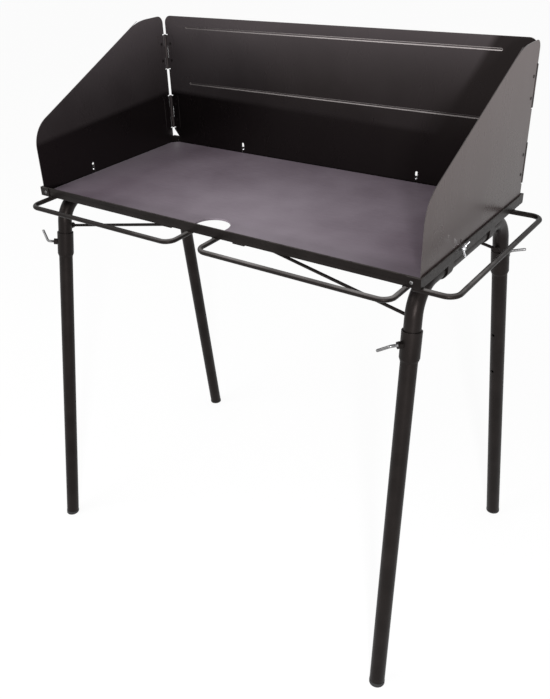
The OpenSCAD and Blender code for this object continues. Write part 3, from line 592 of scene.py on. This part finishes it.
# name, place, turn round Z, roll, body, node
wingPlaces = [
    ("leftWingScrew", (-0.4649, -0.070, 0.908), 180, 20, "left_wing", "left_wing_screw"),
    ("rightWingScrew", (0.4649, -0.070, 0.908), 0, -25, "right_wing", "right_wing_screw"),
    ("backLeftWingScrew", (-0.236, 0.2259, 0.908), 90, 15, "back_left_wing", "back_left_wing_screw"),
    ("backRightWingScrew", (0.236, 0.2259, 0.908), 90, -10, "back_right_wing", "back_right_wing_screw"),
]


def makeWing(way):
    clearSelection()
    middle = wingScrew["hubStart"] + wingScrew["hubLength"] / 2
    bpy.ops.mesh.primitive_cube_add(size=1, location=(middle, 0, way * wingScrew["wingOff"]))
    wing = bpy.context.object
    wing.dimensions = wingScrew["wing"]
    bpy.ops.object.transform_apply(location=True, rotation=True, scale=True)
    bpy.ops.object.mode_set(mode="EDIT")
    pickFaces(wing, lambda face: face.normal.z * way > 0.9)
    for along, outwards, wider, thinner in wingScrew["wingSteps"]:
        pushCap((along, 0, way * outwards), (wider, thinner, 1))
    bpy.ops.object.mode_set(mode="OBJECT")
    smooth = wing.modifiers.new("roundWing", "SUBSURF")
    smooth.levels = wingScrew["roundness"]
    smooth.render_levels = wingScrew["roundness"]
    bpy.ops.object.modifier_apply(modifier=smooth.name)
    settle(wing, wingScrew["wingSmoothTo"])
    return wing


def makeWingScrew():
    screw = startRod(wingScrew["shank"] / 2, wingScrew["sides"], -wingScrew["tip"])
    pushRings(wingScrew["dome"])
    pushThread(wingScrew["hubStart"], wingScrew["pitch"], wingScrew["threadDepth"])
    pushRings([(0, wingScrew["hubRadius"] / wingScrew["shank"])])
    pushRings(wingScrew["hub"])
    settle(screw, wingScrew["smoothTo"])
    return joinPieces([screw, makeWing(1), makeWing(-1)], "wingScrewModel")


wingModel = makeWingScrew()
for name, spot, turn, roll, body, node in wingPlaces:
    matrix = Matrix.Translation(spot) @ turned(turn, "Z") @ turned(roll, "X")
    placeCopy(wingModel, name, matrix, body, node, brightZinc)
dropModel(wingModel)
print("wing screws done")


# bent clamp screws of the lower legs
clampScrew = {
    "sides": 24, "radius": 0.003, "tip": 0.0163, "blunt": 0.0006, "bluntShare": 0.8,
    "threadEnd": 0.0333, "pitch": 0.001, "threadDepth": 0.13,
    "bendStart": 0.03668, "bendRadius": 0.007, "bend": 62, "bendSteps": 10,
    "handle": 0.0238, "end": ((0.0011, 0.93), (0.0008, 0.8), (0.0003, 0.5)), "smoothTo": 40,
}
# name, side, end, facing round the leg, roll
clampPlaces = [
    ("frontLeftClamp", -1, -1, 218, 35), ("frontRightClamp", 1, -1, 238, 125),
    ("backLeftClamp", -1, 1, 160, 20), ("backRightClamp", 1, 1, 78, 80),
]
legPlace = {"foldX": 0.444, "foldZ": 0.87444, "legY": 0.1916, "lean": 2.11, "splay": 8.47, "clampRun": 0.1025}


def makeClampScrew():
    screw = startRod(clampScrew["radius"] * clampScrew["bluntShare"], clampScrew["sides"], clampScrew["tip"])
    pushRings([(clampScrew["blunt"], 1 / clampScrew["bluntShare"])])
    pushThread(clampScrew["threadEnd"] - clampScrew["tip"] - clampScrew["blunt"],
               clampScrew["pitch"], clampScrew["threadDepth"])
    pushCap((clampScrew["bendStart"] - clampScrew["threadEnd"], 0, 0))
    bend = math.radians(clampScrew["bend"])
    bpy.ops.mesh.spin(steps=clampScrew["bendSteps"], angle=bend,
                      center=(clampScrew["bendStart"], 0, clampScrew["bendRadius"]), axis=(0, 1, 0))
    out = Vector((math.cos(bend), 0, math.sin(bend)))
    pushCap(out * clampScrew["handle"])
    for step, shrink in clampScrew["end"]:
        pushCap(out * step, (shrink, shrink, shrink))
    settle(screw, clampScrew["smoothTo"])
    return screw


def legMatrix(side, end):
    return (Matrix.Translation((side * legPlace["foldX"], 0, legPlace["foldZ"]))
            @ turned(-side * legPlace["lean"], "Y")
            @ Matrix.Translation((0, end * legPlace["legY"], 0))
            @ turned(end * legPlace["splay"], "X"))


clampModel = makeClampScrew()
for name, side, end, facing, roll in clampPlaces:
    corner = ("front" if end < 0 else "back") + ("_left" if side < 0 else "_right")
    matrix = (legMatrix(side, end) @ turned(facing, "Z")
              @ Matrix.Translation((0, 0, -legPlace["clampRun"])) @ turned(roll, "X"))
    placeCopy(clampModel, name, matrix, corner + "_clamp_screw", corner + "_clamp", shadedClampZinc)
dropModel(clampModel)
print("clamp screws done")


# socket screws through the rails' corner tabs
cornerScrew = {
    "sides": 28, "shank": 0.00175, "shankLength": 0.005, "radius": 0.0035,
    "head": ((0.0005, 0.99), (0.0005, 0.92), (0.0004, 0.82), (0.0003, 0.66)),
    "socketRadius": 0.0012, "socketLength": 0.0022, "socketAt": 0.0017,
    "place": (0.453, 0.233, 0.904), "smoothTo": 50, "socketSmoothTo": 35,
}


def makeCornerScrew():
    # head along +X, shank behind the face at x = 0
    screw = startRod(cornerScrew["shank"], cornerScrew["sides"], -cornerScrew["shankLength"])
    pushCap((cornerScrew["shankLength"], 0, 0))
    pushRings([(0, cornerScrew["radius"] / cornerScrew["shank"])])
    pushRings(cornerScrew["head"])
    settle(screw, cornerScrew["smoothTo"])
    clearSelection()
    bpy.ops.mesh.primitive_cylinder_add(vertices=6, radius=cornerScrew["socketRadius"],
                                        depth=cornerScrew["socketLength"],
                                        location=(cornerScrew["socketAt"], 0, 0), rotation=(0, math.pi / 2, 0))
    socket = bpy.context.object
    clearSelection()
    screw.select_set(True)
    bpy.context.view_layer.objects.active = screw
    cutSocket = screw.modifiers.new("hexSocket", "BOOLEAN")
    cutSocket.operation = "DIFFERENCE"
    cutSocket.object = socket
    bpy.ops.object.modifier_apply(modifier=cutSocket.name)
    dropModel(socket)
    settle(screw, cornerScrew["socketSmoothTo"])
    return screw


cornerModel = makeCornerScrew()
spotX, spotY, spotZ = cornerScrew["place"]
for side, sideName in ((-1, "Left"), (1, "Right")):
    for end, endName in ((-1, "Front"), (1, "Back")):
        matrix = Matrix.Translation((side * spotX, end * spotY, spotZ)) @ turned(90 * end, "Z")
        placeCopy(cornerModel, "cornerScrew" + endName + sideName, matrix, "frame", None,
                                      dullZinc)
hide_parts("corner_screws")
dropModel(cornerModel)
print("corner screws done")


# weld metal at the bars' ends
barWeld = {
    "size": (0.0062, 0.0034, 0.0030), "segments": 20, "rings": 12, "lumps": 0.0022, "lumpHeight": 0.0008,
    "front": 0.231, "side": 0.470, "height": 0.8925,
    "frontMiddle": 0.238, "sideShift": 0.020, "reach": 0.204, "smoothTo": 80,
}


def makeBarWeld():
    # a fillet of weld metal, lumpy along its length
    clearSelection()
    bpy.ops.mesh.primitive_uv_sphere_add(segments=barWeld["segments"], ring_count=barWeld["rings"], radius=1)
    weld = bpy.context.object
    weld.scale = barWeld["size"]
    bpy.ops.object.transform_apply(location=True, rotation=True, scale=True)
    bpy.ops.object.mode_set(mode="EDIT")
    bpy.ops.mesh.select_all(action="SELECT")
    bpy.ops.mesh.subdivide(number_cuts=1, smoothness=0)
    bpy.ops.object.mode_set(mode="OBJECT")
    lumps = bpy.data.textures.new("weldLumps", "CLOUDS")
    lumps.noise_scale = barWeld["lumps"]
    ripple = weld.modifiers.new("ripple", "DISPLACE")
    ripple.texture = lumps
    ripple.strength = barWeld["lumpHeight"]
    ripple.mid_level = 0.5
    bpy.ops.object.modifier_apply(modifier=ripple.name)
    settle(weld, barWeld["smoothTo"])
    return weld


weldModel = makeBarWeld()
for side, sideName in ((-1, "Left"), (1, "Right")):
    for end, endName in ((-1, "Front"), (1, "Back")):
        onFront = (side * barWeld["frontMiddle"] + end * barWeld["reach"], -barWeld["front"], barWeld["height"])
        onSide = (side * barWeld["side"], -side * barWeld["sideShift"] + end * barWeld["reach"], barWeld["height"])
        reachName = "Outer" if end * side > 0 else "Inner"
        placeCopy(weldModel, "frontBarWeld" + sideName + reachName, Matrix.Translation(onFront), "frame", None,
                  blackPaint)
        placeCopy(weldModel, "sideBarWeld" + sideName + endName, Matrix.Translation(onSide) @ turned(90, "Z"),
                  "frame", None, blackPaint)
dropModel(weldModel)
print("bar welds done")
